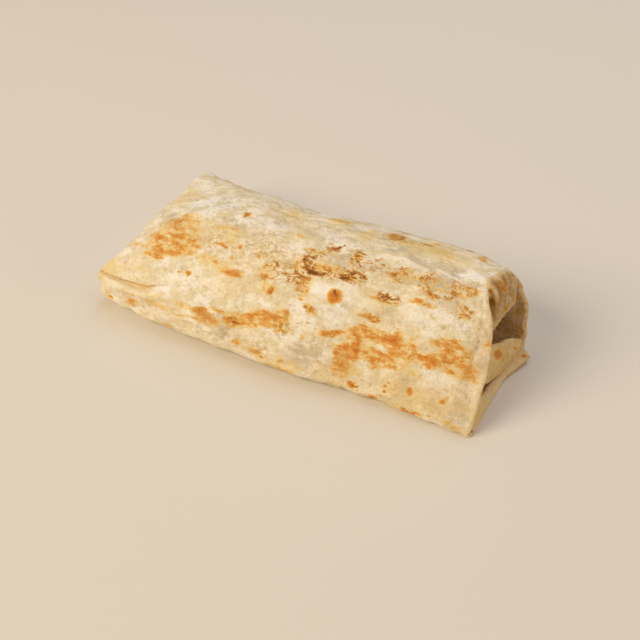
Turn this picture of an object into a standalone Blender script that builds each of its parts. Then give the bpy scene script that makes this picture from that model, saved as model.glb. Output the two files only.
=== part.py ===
"""A burrito: one large flour tortilla rolled round its filling and laid on its seam.

The shut end is folded like an envelope. At the open end the sheet's edge is tucked in
loosely: a crumpled flap hangs from the top, a fold bulges up from below, and between
them is a shallow pocket. A thin corner of the sheet sticks out at the bottom.

Metres, +Z up. +X runs from the shut end to the open end, +Y is the side that was rolled
in first, and the burrito rests on the plane z = 0, centred on the origin.
"""

import bmesh
import bpy
import numpy as np

# Driving dimensions.
LENGTH = 0.197          # shut end to the tip of the loose corner
WIDTH = 0.100           # unit of the profiles' half widths
HEIGHT = 0.049          # table to crest
SHEET = 0.0022          # one thickness of tortilla
SETTLE = 0.0004         # how far the underside is pressed flat
POCKET_DEPTH = 0.023    # how far the tucked end is hollow
CREASE_DEPTH = 0.0013   # groove where the last turn overlaps the fold below it
BAND_RISE = 0.0009      # the rounded fold under that groove

STATIONS = 38           # rows along the length
AROUND = 60             # points round each row

# Profiles along the length: (share of LENGTH from the shut end, value).
# Sides and lines are shares of WIDTH from the middle, levels are shares of HEIGHT.
NEAR_SIDE = ((0.00, 0.430), (0.05, 0.445), (0.11, 0.475), (0.24, 0.505), (0.42, 0.500),
             (0.57, 0.485), (0.72, 0.450), (0.87, 0.455), (0.97, 0.450))
NEAR_LEVEL = ((0.01, 0.29), (0.19, 0.22), (0.39, 0.18), (0.60, 0.14), (0.77, 0.08), (0.97, 0.03))
CREST_LEVEL = ((0.01, 0.49), (0.06, 0.61), (0.14, 0.76), (0.27, 0.90), (0.44, 0.96),
               (0.60, 0.99), (0.80, 1.00), (0.90, 0.98))
CREST_LINE = ((0.01, -0.01), (0.24, -0.07), (0.49, -0.09), (0.75, -0.06), (0.97, -0.03))
FAR_SIDE = ((0.01, 0.530), (0.05, 0.480), (0.11, 0.415), (0.19, 0.370), (0.34, 0.330),
            (0.49, 0.330), (0.60, 0.340), (0.77, 0.330), (0.89, 0.255), (0.98, 0.175))
FAR_LEVEL = ((0.01, 0.35), (0.29, 0.35), (0.65, 0.37), (0.97, 0.37))
BASE_LINE = ((0.01, -0.03), (0.97, -0.13))
# Superellipse exponents: 2 is round, 1 is a straight slope, 4 is boxy.
NEAR_ROUND = ((0.01, 1.9), (0.19, 1.5), (0.49, 1.6), (0.70, 1.5), (0.97, 1.28))
FAR_ROUND = ((0.01, 3.2), (0.19, 2.4), (0.77, 2.3), (0.89, 2.6), (0.97, 2.7))
BASE_ROUND = ((0.01, 4.0), (0.19, 4.5), (0.97, 4.5))

# Where the roll ends, as (degrees round the section, share of LENGTH).
# 0 is the near side, 90 the crest, 180 the far side and 270 the base.
SHUT_RIM = ((0, 0.000), (30, 0.009), (45, 0.027), (60, 0.047), (75, 0.055), (90, 0.055),
            (105, 0.050), (120, 0.040), (150, 0.027), (180, 0.027), (200, 0.037), (235, 0.047),
            (270, 0.047), (300, 0.037), (320, 0.027), (335, 0.017), (350, 0.007), (360, 0.000))
OPEN_RIM = ((0, 0.961), (30, 0.957), (45, 0.951), (60, 0.933), (75, 0.903), (90, 0.895),
            (105, 0.913), (120, 0.920), (135, 0.925), (150, 0.936), (165, 0.953), (180, 0.966),
            (210, 0.973), (235, 0.976), (270, 0.963), (330, 0.961), (360, 0.961))

# The groove on the near side: (share of LENGTH, degrees round the section), and its strength.
CREASE_LINE = ((0.00, 16), (0.08, 19), (0.16, 22), (0.21, 31), (0.28, 37), (1.00, 40))
CREASE_FADE = (0.17, 0.24)
BAND_FADE = (0.20, 0.42)

# Lower edge of the tucked flap: (degrees round the section, x, y, z) in metres.
TUCK_EDGE = ((40, 0.0845, -0.0240, 0.0220), (50, 0.0855, -0.0212, 0.0265),
             (60, 0.0862, -0.0190, 0.0292), (70, 0.0861, -0.0160, 0.0303),
             (80, 0.0858, -0.0120, 0.0298), (90, 0.0853, -0.0080, 0.0287),
             (105, 0.0848, -0.0010, 0.0268), (120, 0.0852, 0.0050, 0.0268),
             (135, 0.0868, 0.0125, 0.0266), (150, 0.0893, 0.0153, 0.0266),
             (165, 0.0900, 0.0162, 0.0255))

# The lower fold, from its hidden near end to the far wall: (share, x, y, z) of each edge.
FOLD_TOP = ((0.0, 0.0855, -0.0223, 0.0290), (0.2, 0.0868, -0.0130, 0.0240),
            (0.5, 0.0883, -0.0010, 0.0166), (0.7, 0.0898, 0.0040, 0.0150),
            (0.85, 0.0913, 0.0090, 0.0120), (1.0, 0.0925, 0.0160, 0.0072))
FOLD_FOOT = ((0.0, 0.0865, -0.0293, 0.0130), (0.2, 0.0883, -0.0210, 0.0100),
             (0.5, 0.0895, -0.0095, 0.0048), (0.7, 0.0908, -0.0030, 0.0032),
             (0.85, 0.0925, 0.0040, 0.0022), (1.0, 0.0938, 0.0152, 0.0015))
FOLD_THICKNESS = 0.0034
FOLD_BULGE = 0.0020

# The bottom corner of the sheet: its outer edge and the line where it goes under, (share, x, y, z).
CORNER_EDGE = ((0.0, 0.0912, -0.0428, 0.0030), (0.2, 0.0913, -0.0308, 0.0022),
               (0.4, 0.0918, -0.0198, 0.0022), (0.6, 0.0923, -0.0083, 0.0024),
               (0.75, 0.0938, -0.0018, 0.0028), (0.85, 0.0962, 0.0042, 0.0032),
               (1.0, 0.0985, 0.0104, 0.0038))
CORNER_ROOT = ((0.0, 0.0893, -0.0393, 0.0075), (0.2, 0.0888, -0.0298, 0.0066),
               (0.4, 0.0880, -0.0208, 0.0042), (0.6, 0.0880, -0.0088, 0.0026),
               (0.75, 0.0890, 0.0002, 0.0024), (0.85, 0.0905, 0.0072, 0.0024),
               (1.0, 0.0925, 0.0157, 0.0026))
CORNER_LIFT = 0.0012    # how far the tip stands off the table
GAP = 0.0003            # the smallest step left between two near faces


def along(knots, where):
    """Smooth curve through the knots (position, value), read at where and held flat past the ends."""
    position, value = np.array(knots, float).T
    slope = np.gradient(value, position)
    where = np.clip(where, position[0], position[-1])
    left = np.clip(np.searchsorted(position, where) - 1, 0, len(position) - 2)
    step = position[left + 1] - position[left]
    u = (where - position[left]) / step
    return ((2 * u**3 - 3 * u**2 + 1) * value[left] + (u**3 - 2 * u**2 + u) * step * slope[left]
            + (3 * u**2 - 2 * u**3) * value[left + 1] + (u**3 - u**2) * step * slope[left + 1])


def edge(knots, where):
    """Points of a line given as rows of (position, x, y, z)."""
    rows = np.array(knots, float)
    return np.stack([along(rows[:, (0, axis)], where) for axis in (1, 2, 3)], axis=-1)


def ramp(start, end, value):
    """0 before start, 1 after end, and a smooth step between."""
    u = np.clip((value - start) / (end - start), 0.0, 1.0)
    return u * u * (3.0 - 2.0 * u)


def section(share, turn):
    """y and z of the roll at a share of LENGTH and an angle: a superellipse in each quadrant."""
    near, far = WIDTH * along(NEAR_SIDE, share), WIDTH * along(FAR_SIDE, share)
    near_level, far_level = HEIGHT * along(NEAR_LEVEL, share), HEIGHT * along(FAR_LEVEL, share)
    crest, crest_line = HEIGHT * along(CREST_LEVEL, share), WIDTH * along(CREST_LINE, share)
    cosine, sine = np.cos(turn), np.sin(turn)
    is_near, is_top = cosine >= 0, sine >= 0
    power = np.where(is_top, np.where(is_near, along(NEAR_ROUND, share), along(FAR_ROUND, share)),
                     along(BASE_ROUND, share))
    middle = np.where(is_top, crest_line, WIDTH * along(BASE_LINE, share))
    side = np.where(is_near, -near, far)
    level = np.where(is_near, near_level, far_level)
    y = middle + (side - middle) * np.abs(cosine) ** (2 / power)
    z = level + np.where(is_top, crest - level, -level) * np.abs(sine) ** (2 / power)
    return y, z


def even_turns(share):
    """Angles that space AROUND points evenly along the girth of the section at share."""
    fine = np.linspace(0, 2 * np.pi, 1441)
    y, z = section(share, fine)
    walked = np.concatenate([[0], np.cumsum(np.hypot(np.diff(y), np.diff(z)))])
    return np.interp(np.linspace(0, walked[-1], AROUND, endpoint=False), walked, fine)


def outward(rows):
    """Unit normals of rows of closed loops, from the steps along and round them."""
    forward = np.gradient(rows, axis=0)
    sideways = np.roll(rows, -1, axis=1) - np.roll(rows, 1, axis=1)
    normal = np.cross(forward, sideways)
    return normal / np.linalg.norm(normal, axis=-1, keepdims=True)


def crease(share, turn):
    """Height of the relief beside the near groove: the groove itself and the rounded fold below it."""
    line = np.radians(along(CREASE_LINE, share))
    below = (line - turn) * 0.35 * WIDTH
    groove = np.exp(-(below / 0.0016) ** 2) * (1 - ramp(*CREASE_FADE, share))
    band = np.exp(-((below - 0.0055) / 0.0035) ** 2) * (1 - ramp(*BAND_FADE, share))
    return BAND_RISE * band - CREASE_DEPTH * groove


def filling_lumps(rows):
    """Low, broad swells of the filling under the sheet, faded out at the base and the ends."""
    x, y, z = np.moveaxis(rows, -1, 0) * 1000
    swell = (np.sin(x / 13.5 + y / 29 + 0.6) * np.sin(y / 11 - x / 41 + 1.9)
             + 0.6 * np.sin(x / 7.8 - y / 9.5 + 2.2))
    share = rows[..., 0] / LENGTH + 0.5
    fade = ramp(0.06, 0.16, share) * (1 - ramp(0.80, 0.90, share)) * ramp(8, 24, z)
    return 0.0006 * swell * fade


def roll():
    """Rows of points round the roll, from the shut rim to the open rim."""
    lengthwise = 0.5 - 0.5 * np.cos(np.pi * np.linspace(0.0, 1.0, STATIONS))
    lengthwise = 0.45 * lengthwise + 0.55 * np.linspace(0.0, 1.0, STATIONS)
    turn = np.array([even_turns(share) for share in 0.02 + 0.94 * lengthwise])
    nearest = int(np.argmin(np.abs(turn[0] - np.radians(along(CREASE_LINE, 0.1)))))
    miss = np.radians(along(CREASE_LINE, lengthwise)) - turn[:, nearest]
    reach = np.exp(-((np.arange(AROUND) - nearest) / 3.0) ** 2)
    held = 1 - ramp(0.16, 0.30, lengthwise)
    turn = turn + (miss * held)[:, None] * reach
    degrees = np.degrees(turn) % 360
    along_row = lengthwise[:, None]
    share = along(SHUT_RIM, degrees) * (1 - along_row) + along(OPEN_RIM, degrees) * along_row
    y, z = section(share, turn % (2 * np.pi))
    rows = np.stack([(share - 0.5) * LENGTH, y, z], axis=-1)
    relief = crease(share, turn) + filling_lumps(rows)
    rows += outward(rows) * relief[..., None]
    rows[..., 2] = np.maximum(rows[..., 2] - SETTLE, 0.0)
    return rows, degrees


def shut_end(rim):
    """Rows that close the shut end: the top turned down and the base turned up, to a sunk crease."""
    x, y, z = np.moveaxis(rim, -1, 0)
    across = (y - y.min()) / (y.max() - y.min())
    crease_z = HEIGHT * (0.27 + 0.16 * across)
    crease_x = LENGTH * (0.030 + 0.016 * np.sin(np.pi * across) - 0.5)
    upper = np.where(z > crease_z, 1.0, 0.0)
    steps = (          # share of the height left, share of the width left, share of the way to the
        (0.92, 0.995, 0.25, 0.0008),      # crease, and how far the fold stands proud of both
        (0.66, 0.985, 0.70, 0.0018),
        (0.38, 0.970, 0.95, 0.0019),
        (0.16, 0.950, 1.00, 0.0012),
    )
    middle = 0.5 * (y.max() + y.min())
    rows = []
    for height, width, way, proud in steps:
        rows.append(np.stack([x + (crease_x - x) * way - proud - 0.0006 * upper * way,
                              middle + (y - middle) * width,
                              crease_z + (z - crease_z) * height], axis=-1))
    for sunk, opening, width in ((0.0006, 0.07, 0.93), (0.0045, 0.05, 0.90)):
        rows.append(np.stack([crease_x + sunk, middle + (y - middle) * width,
                              crease_z + (z - crease_z) * opening], axis=-1))
    return rows[::-1]


def bezier(start, leave, arrive, end, u):
    """Cubic curve from start to end, drawn towards leave and arrive."""
    return ((1 - u)**3 * start + 3 * u * (1 - u)**2 * leave
            + 3 * u**2 * (1 - u) * arrive + u**3 * end)


def pocket_wall(degrees):
    """The loop deep in the pocket that its walls run down to."""
    turn = np.radians(degrees)
    depth = np.full_like(turn, 0.5 * LENGTH - 0.0085 - POCKET_DEPTH)
    return np.stack([depth, -0.0003 - 0.0145 * np.cos(turn), 0.0185 + 0.0105 * np.sin(turn)], axis=-1)


def open_end(rows, degrees):
    """Rows past the open rim: over the lip, down the tucked flap, round its edge and into the pocket."""
    rim = rows[-1]
    out = outward(rows)[-1]
    out[:, 0] = 0.0
    out /= np.linalg.norm(out, axis=-1, keepdims=True)
    forward = np.array([1.0, 0.0, 0.0])
    flap = edge(TUCK_EDGE, degrees)
    wall = pocket_wall(degrees)
    lip = rim + 0.0011 * forward - 0.35 * SHEET * out
    inside = rim - SHEET * out
    plain = [lip, inside] + [inside + (wall - inside) * way for way in (0.12, 0.3, 0.5, 0.7, 0.85)]
    slit = rim - 0.0026 * forward - 1.05 * SHEET * out
    behind = rim - 0.0012 * forward - 2.0 * SHEET * out
    back = flap - np.array([SHEET, 0.0, -0.0004])
    folded = [lip, inside, slit, behind, 0.5 * (behind + flap), flap, back]
    leave, arrive = rim + 0.0045 * forward, flap + np.array([0.0008, 0.0, 0.0065])
    rolled = [bezier(rim, leave, arrive, flap, u) for u in (0.15, 0.3, 0.48, 0.66, 0.83, 1.0)] + [back]
    has_flap = (ramp(38, 50, degrees) * (1 - ramp(148, 166, degrees)))[:, None]
    is_folded = (1 - ramp(70, 90, degrees))[:, None]
    path = []
    for straight, over_slit, over_top in zip(plain, folded, rolled):
        tucked = over_slit * is_folded + over_top * (1 - is_folded)
        path.append(straight * (1 - has_flap) + tucked * has_flap)
    path.append(0.5 * (path[-1] + wall))
    path.append(wall)
    return path


def skin(name, loops, material):
    """A closed body through loops of points: quads between them and a fan over each end."""
    loops = np.asarray(loops)
    rows, count = loops.shape[:2]
    body = bmesh.new()
    verts = [[body.verts.new(point) for point in loop] for loop in loops]
    for row in range(rows - 1):
        for i in range(count):
            j = (i + 1) % count
            body.faces.new((verts[row][i], verts[row][j], verts[row + 1][j], verts[row + 1][i]))
    for row, middle in ((0, loops[0].mean(axis=0)), (-1, loops[-1].mean(axis=0))):
        centre = body.verts.new(middle)
        for i in range(count):
            body.faces.new((verts[row][i], verts[row][(i + 1) % count], centre))
    bmesh.ops.triangulate(body, faces=[face for face in body.faces if len(face.verts) == 4])
    bmesh.ops.recalc_face_normals(body, faces=body.faces)
    mesh = bpy.data.meshes.new(name)
    body.to_mesh(mesh)
    body.free()
    mesh.shade_smooth()
    mesh.set_sharp_from_angle(angle=np.radians(55))
    mesh.materials.append(material)
    return bpy.data.objects.new(name, mesh)


def wrap(material):
    """The rolled sheet and what it holds, as one body from the shut end into the pocket."""
    rows, degrees = roll()
    loops = shut_end(rows[0]) + list(rows) + open_end(rows, degrees[-1])
    return skin("burrito", loops, material)


def lower_fold(material):
    """The fold that bulges up across the lower half of the open end."""
    loops = []
    for share in np.linspace(0.0, 1.0, 11):
        top, foot = edge(FOLD_TOP, share), edge(FOLD_FOOT, share)
        front = [top + (foot - top) * w + np.array([FOLD_BULGE * np.sin(np.pi * w), 0, 0])
                 for w in (0.02, 0.16, 0.36, 0.60, 0.82, 1.0)]
        back = [top + (foot - top) * w - np.array([FOLD_THICKNESS, 0, 0]) for w in (0.95, 0.5, 0.05)]
        crown = top - np.array([0.5 * FOLD_THICKNESS, 0.0, -0.0009])
        loops.append(front + back + [crown])
    return skin("lower_fold", loops, material)


def bottom_corner(material):
    """The thin corner of the sheet that sticks out at the bottom of the open end."""
    loops = []
    for share in np.linspace(0.0, 1.0, 15):
        outer, root = edge(CORNER_EDGE, share), edge(CORNER_ROOT, share)
        lift = CORNER_LIFT * ramp(0.70, 1.0, share)
        middle = 0.5 * (outer + root)
        top = [outer - np.array([0.0004, 0, 0]), middle + np.array([0, 0, 0.0003]), root]
        under = [root * [1, 1, 0] + [0, 0, GAP], middle * [1, 1, 0] + [0, 0, GAP + 0.5 * lift],
                 outer * [1, 1, 0] + [-0.0004, 0, GAP + lift]]
        rim = outer * [1, 1, 0.5] + [0.0002, 0, 0.5 * (GAP + lift)]
        loops.append(top + under + [rim])
    return skin("bottom_corner", loops, material)


def tortilla():
    """Cooked wheat dough: pale cream, matt, with a faint oily sheen."""
    material = bpy.data.materials.new("wheat_tortilla")
    material.use_nodes = True
    shader = material.node_tree.nodes["Principled BSDF"]
    shader.inputs["Base Color"].default_value = (0.72, 0.53, 0.29, 1.0)
    shader.inputs["Roughness"].default_value = 0.62
    shader.inputs["Metallic"].default_value = 0.0
    return material


def join(body, piece, helpers):
    """Join piece to body with an exact Boolean union; piece stays in helpers as a guide."""
    helpers.objects.link(piece)
    piece.hide_render = True
    piece.display_type = "WIRE"
    union = body.modifiers.new("join_" + piece.name, "BOOLEAN")
    union.operation = "UNION"
    union.solver = "EXACT"
    union.object = piece


def collection(name):
    """A new collection in the scene."""
    made = bpy.data.collections.new(name)
    bpy.context.scene.collection.children.link(made)
    return made


def main():
    for item in list(bpy.data.objects):
        bpy.data.objects.remove(item, do_unlink=True)
    parts, helpers = collection("burrito"), collection("joined_folds")
    dough = tortilla()
    body = wrap(dough)
    parts.objects.link(body)
    join(body, lower_fold(dough), helpers)
    join(body, bottom_corner(dough), helpers)


main()
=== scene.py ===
# %% [markdown]
# # A burrito
# A burrito is one large wheat tortilla, warmed on a griddle, rolled round its filling and
# folded shut, so all that shows is one thin sheet: pale dough with toasted patches. We dress
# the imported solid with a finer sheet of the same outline, and add the two loose folds at the
# open end. All new forms are worked out with numpy, in millimetres.

import bpy
import numpy as np
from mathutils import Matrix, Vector


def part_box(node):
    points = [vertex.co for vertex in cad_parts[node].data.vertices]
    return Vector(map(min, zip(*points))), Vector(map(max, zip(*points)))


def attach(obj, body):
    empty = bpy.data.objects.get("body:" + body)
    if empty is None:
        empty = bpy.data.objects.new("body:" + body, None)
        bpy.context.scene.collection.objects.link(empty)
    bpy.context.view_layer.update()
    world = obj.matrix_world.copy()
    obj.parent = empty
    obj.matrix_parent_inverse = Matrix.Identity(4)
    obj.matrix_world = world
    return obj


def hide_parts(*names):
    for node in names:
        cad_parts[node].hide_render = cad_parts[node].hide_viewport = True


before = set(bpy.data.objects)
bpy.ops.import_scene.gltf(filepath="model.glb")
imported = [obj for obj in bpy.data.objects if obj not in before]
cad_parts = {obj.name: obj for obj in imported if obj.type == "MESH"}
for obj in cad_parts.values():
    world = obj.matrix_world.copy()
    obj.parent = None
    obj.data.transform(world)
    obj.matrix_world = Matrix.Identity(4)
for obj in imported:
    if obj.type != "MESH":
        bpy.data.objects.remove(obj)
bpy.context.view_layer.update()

low, high = (np.array(corner) * 1000 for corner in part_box("burrito"))
LENGTH = high[0] - low[0]
WIDTH = (high[1] - low[1]) / 1.0166      # the profiles' unit: their two sides add up to 1.0166
HEIGHT = high[2] + 0.05
SHEET, SETTLE, POCKET_DEPTH = 2.2, 0.4, 23.0     # mm: the sheet's thickness, how far it sinks
print("burrito box, mm:", (high - low).round(1))

# %% [markdown]
# ## The camera, the floor and the light
# The burrito lies on a table and is seen from above its near right corner. The light is a
# big soft window to the left and a little in front, with a cooler, weaker glow from behind
# and a faint warm bounce on the open end. Large area lamps give the soft shadows that make
# food look fresh, where a small lamp would be hard.

# %% Helpers for colour, nodes and lamps
def linear(code):
    """An sRGB hex colour as linear red, green, blue and alpha: the sRGB curve undone."""
    value = np.array([int(code[i:i + 2], 16) for i in (1, 3, 5)]) / 255
    curve = np.where(value <= 0.04045, value / 12.92, ((value + 0.055) / 1.055) ** 2.4)
    return (*(float(v) for v in curve), 1.0)


def add(tree, kind, links={}, values={}, **properties):
    """A node of that kind: its properties, the values of its sockets, and the outputs that
    lead into its sockets, which are given by name or number."""
    node = tree.nodes.new("ShaderNode" + kind)
    for name, value in properties.items():
        setattr(node, name, value)
    for socket, value in values.items():
        node.inputs[socket].default_value = value
    for socket, output in links.items():
        tree.links.new(output, node.inputs[socket])
    return node


def in_scene(name, data):
    """A new object with that data."""
    made = bpy.data.objects.new(name, data)
    bpy.context.collection.objects.link(made)
    return made


def look_at(name, data, azimuth, elevation, distance, aim=(0, 0, 0)):
    """An object that looks at aim from an azimuth and elevation in degrees and a distance."""
    a, e = np.radians((azimuth, elevation))
    back = Vector((np.sin(a) * np.cos(e), -np.cos(a) * np.cos(e), np.sin(e)))
    made = in_scene(name, data)
    made.location = Vector(aim) + back * distance
    made.rotation_euler = back.to_track_quat("Z", "Y").to_euler()
    return made


def lamp(name, azimuth, elevation, distance, size, watts, colour):
    """A square area lamp that looks at the burrito."""
    light = bpy.data.lights.new(name, "AREA")
    light.size, light.energy, light.color = size, watts, linear(colour)[:3]
    look_at(name, light, azimuth, elevation, distance)


# %% Place the camera
AZIMUTH, ELEVATION, DISTANCE, AIM = 28.0, 41.1, 0.397, (0.0102, -0.0228, 0.014)
camera = look_at("camera", bpy.data.cameras.new("camera"), AZIMUTH, ELEVATION, DISTANCE, AIM)
camera.data.lens, camera.data.sensor_width, camera.data.clip_start = 50.0, 36.0, 0.01
bpy.context.scene.camera = camera
print("camera at", [round(v, 3) for v in camera.location])

# %% Light the table
# Each lamp: azimuth, elevation, distance and size in metres, watts, colour.
lamp("window", -38, 36, 2.3, 1.3, 38.8, "#fff1dc")
lamp("sky_glow", 165, 60, 1.4, 1.3, 8.0, "#e8ecff")
lamp("warm_bounce", 88, 18, 3.0, 0.8, 8.5, "#ffd8a0")
world = bpy.data.worlds.new("room")
world.use_nodes = True
room = world.node_tree.nodes["Background"]
room.inputs["Color"].default_value = linear("#fdecd2")
room.inputs["Strength"].default_value = 0.27
bpy.context.scene.world = world
bpy.context.scene.view_settings.view_transform = "Standard"


def table_top():
    """A pale painted board, far wider than the burrito, just under it."""
    mesh = bpy.data.meshes.new("table_top")
    mesh.from_pydata([(-1.6, -1.6, 0), (1.6, -1.6, 0), (1.6, 1.6, 0), (-1.6, 1.6, 0)],
                     [], [(0, 1, 2, 3)])
    paint = bpy.data.materials.new("pale_matt_paint")
    paint.use_nodes = True
    shader = paint.node_tree.nodes["Principled BSDF"]
    shader.inputs["Base Color"].default_value = linear("#e6dfd2")
    shader.inputs["Roughness"].default_value = 0.7
    mesh.materials.append(paint)
    return in_scene("table_top", mesh)


table_top()

# %% [markdown]
# ## The shape of the roll
# Cut across anywhere, the roll is a lopsided oval: a long slope on the near side, a steep
# back, and a flat base where it rests. It could be sculpted, but smooth curves through a few
# measured stations are easier to adjust. Each section is a superellipse in four quarters,
# whose sizes and roundness follow such curves from the shut end to the open end.

# %% Tables, and curves through stations
def table(text):
    """Rows of numbers: a comma or a new line ends a row, and a line with # only names rows."""
    rows = ",".join(line for line in text.splitlines() if "#" not in line).split(",")
    return [[float(value) for value in row.split()] for row in rows if row.strip()]


def hermite(u, start, end, leave, arrive):
    """The cubic from start to end whose slopes there are leave and arrive: (2u3 - 3u2 + 1)
    start + (3u2 - 2u3) end + (u3 - 2u2 + u) leave + (u3 - u2) arrive."""
    return ((2 * u**3 - 3 * u**2 + 1) * start + (u**3 - 2 * u**2 + u) * leave
            + (3 * u**2 - 2 * u**3) * end + (u**3 - u**2) * arrive)


def along(knots, where):
    """Cubic curve through (position, value) knots, with the slope at each knot from its
    neighbours; held flat past both ends."""
    position, value = np.array(knots, float).T
    slope = np.gradient(value, position)
    where = np.clip(where, position[0], position[-1])
    left = np.clip(np.searchsorted(position, where) - 1, 0, len(position) - 2)
    step = position[left + 1] - position[left]
    return hermite((where - position[left]) / step, value[left], value[left + 1],
                   step * slope[left], step * slope[left + 1])


def edge(knots, where):
    """Points of a line given as rows of (position, x, y, z), each axis its own curve."""
    rows = np.array(knots, float)
    return np.stack([along(rows[:, (0, axis)], where) for axis in (1, 2, 3)], axis=-1)


def ramp(start, end, value):
    """0 before start, 1 after end, with a smooth 3u2 - 2u3 step between."""
    u = np.clip((value - start) / (end - start), 0.0, 1.0)
    return u * u * (3.0 - 2.0 * u)


def window(rise, full, fall, end, value):
    """Up from rise to full, 1 to fall, and down to 0 at end: two such steps multiplied."""
    return ramp(rise, full, value) * (1 - ramp(fall, end, value))


def bell(value, middle, width):
    """A bell curve round middle: e to the power of -((value - middle) / width)2."""
    return np.exp(-((value - middle) / width) ** 2)


# %% Stations of the roll: share of the length from the shut end, share of width or height
NEAR_SIDE = table("""
  0 .44, .04 .465, .11 .484, .24 .505, .42 .5, .57 .492, .64 .474, .72 .452, .87 .455, .97 .45""")
NEAR_LEVEL = table(".01 .29, .19 .22, .39 .18, .6 .14, .77 .08, .97 .03")
CREST_LEVEL = table(".01 .49, .06 .61, .14 .76, .27 .9, .44 .96, .6 .99, .8 1, .9 .98")
CREST_LINE = table(".01 -.01, .24 -.07, .49 -.09, .75 -.06, .97 -.03")
FAR_SIDE = table("""
  .01 .53, .05 .48, .11 .415, .19 .37, .34 .337, .49 .347, .6 .35, .7 .338, .77 .32, .89 .243
  .98 .175""")
FAR_LEVEL = table(".01 .35, .29 .35, .65 .37, .97 .37")
BASE_LINE = table(".01 -.03, .97 -.13")
# Roundness of each quarter: 2 is an ellipse, 1 a straight slope, 4 nearly a box.
NEAR_ROUND = table(".01 1.9, .19 1.5, .49 1.6, .7 1.5, .97 1.28")
FAR_ROUND = table(".01 3.2, .19 2.4, .77 2.3, .89 2.6, .97 2.7")
BASE_ROUND = table(".01 6.5, .1 5.5, .25 4.5, .97 4.5")
# Where the roll ends: degrees round the section, share of the length.
SHUT_RIM = table("""
  0 .008, 15 .01, 30 .018, 45 .04, 60 .061, 75 .066, 90 .052, 105 .037, 120 .026, 150 .021
  180 .027, 200 .037, 235 .047, 270 .047, 300 .03, 320 .013, 335 .004, 350 .005, 360 .008""")
OPEN_RIM = table("""
  0 .953, 8 .957, 20 .959, 30 .957, 45 .951, 60 .933, 75 .903, 90 .891, 105 .902, 120 .906
  135 .913, 150 .93, 165 .951, 180 .967, 210 .973, 235 .976, 270 .963, 330 .961, 350 .957
  360 .953""")


def section(share, turn):
    """y and z of the roll: in each quarter, the distance from the middle goes by
    |cos|^(2/p) and the height by |sin|^(2/p), where p is the roundness there."""
    near, far, crest_line, base_line = (
        WIDTH * along(knots, share) for knots in (NEAR_SIDE, FAR_SIDE, CREST_LINE, BASE_LINE))
    near_level, far_level, crest = (
        HEIGHT * along(knots, share) for knots in (NEAR_LEVEL, FAR_LEVEL, CREST_LEVEL))
    cosine, sine = np.cos(turn), np.sin(turn)
    is_near, is_top = cosine >= 0, sine >= 0
    power = np.where(is_top, np.where(is_near, along(NEAR_ROUND, share), along(FAR_ROUND, share)),
                     along(BASE_ROUND, share))
    middle = np.where(is_top, crest_line, base_line)
    side = np.where(is_near, -near, far)
    level = np.where(is_near, near_level, far_level)
    y = middle + (side - middle) * np.abs(cosine) ** (2 / power)
    z = level + np.where(is_top, crest - level, -level) * np.abs(sine) ** (2 / power)
    return y, z


middle_y, middle_z = section(0.5, np.linspace(0, 2 * np.pi, 721))
print("girth halfway, mm:", np.hypot(np.diff(middle_y), np.diff(middle_z)).sum().round(1))

# %% [markdown]
# ## A grid over the roll
# The sheet is a grid of rows along the roll and columns round it. Equal angles would crowd
# the points at the corners, so the columns are spaced by distance walked round the section,
# and more thinly underneath. Every point also gets its place on the flat sheet: millimetres
# along the roll and down from the crest, by which the toasted patches will be put.

# %% Rows and columns
ROWS, COLUMNS = 300, 250


def even_turns(share):
    """Angles from the middle of the base, round the near side, over the crest and back, that
    are even steps of the distance walked, the base counting for less than half."""
    fine = np.linspace(-0.5 * np.pi, 1.5 * np.pi, 2161)
    y, z = section(share, fine % (2 * np.pi))
    step = np.hypot(np.diff(y), np.diff(z))
    under = np.sin(0.5 * (fine[1:] + fine[:-1])) < -0.35
    walked = np.concatenate([[0], np.cumsum(step * np.where(under, 0.4, 1.0))])
    return np.interp(np.linspace(0, walked[-1], COLUMNS, endpoint=False), walked, fine)


lengthwise = np.linspace(0.0, 1.0, ROWS)
turns = np.array([even_turns(share) for share in 0.02 + 0.94 * lengthwise])
degrees = np.degrees(turns) % 360
share = (along(SHUT_RIM, degrees) * (1 - lengthwise[:, None])
         + along(OPEN_RIM, degrees) * lengthwise[:, None])
roll_y, roll_z = section(share, turns % (2 * np.pi))
roll = np.stack([(share - 0.5) * LENGTH, roll_y, roll_z], axis=-1)


def down_from_crest(rows, turn):
    """Distance walked round each row from the crest, positive on the near side."""
    step = np.linalg.norm(np.diff(rows[..., 1:], axis=1), axis=-1)
    walked = np.concatenate([np.zeros((len(rows), 1)), np.cumsum(step, axis=1)], axis=1)
    at_crest = [np.interp(0.5 * np.pi, row, far) for row, far in zip(turn, walked)]
    return np.array(at_crest)[:, None] - walked


down = down_from_crest(roll, turns)
print("roll grid:", roll.shape[:2], "down from", down.min().round(), "to", down.max().round())

# %% [markdown]
# ## Noise, spots and strokes
# Dough is never even. Three small tools make all of its unevenness: smooth random noise of a
# chosen size, oval spots, and strokes along a drawn line. A Displace modifier with Blender's
# own noise could raise the sheet too, but here the same tools also place the colour.

# %% Smooth random noise
def lattice(i, j, k, seed):
    """A fixed random value from -1 to 1 for each whole-number point: the integers scrambled."""
    n = (i * 374761393 + j * 668265263 + k * 362437 + seed * 974711) & 0xFFFFFFFF
    n = ((n ^ (n >> 13)) * 1274126177) & 0xFFFFFFFF
    return ((n ^ (n >> 16)) & 0xFFFF) / 32767.5 - 1.0


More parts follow.
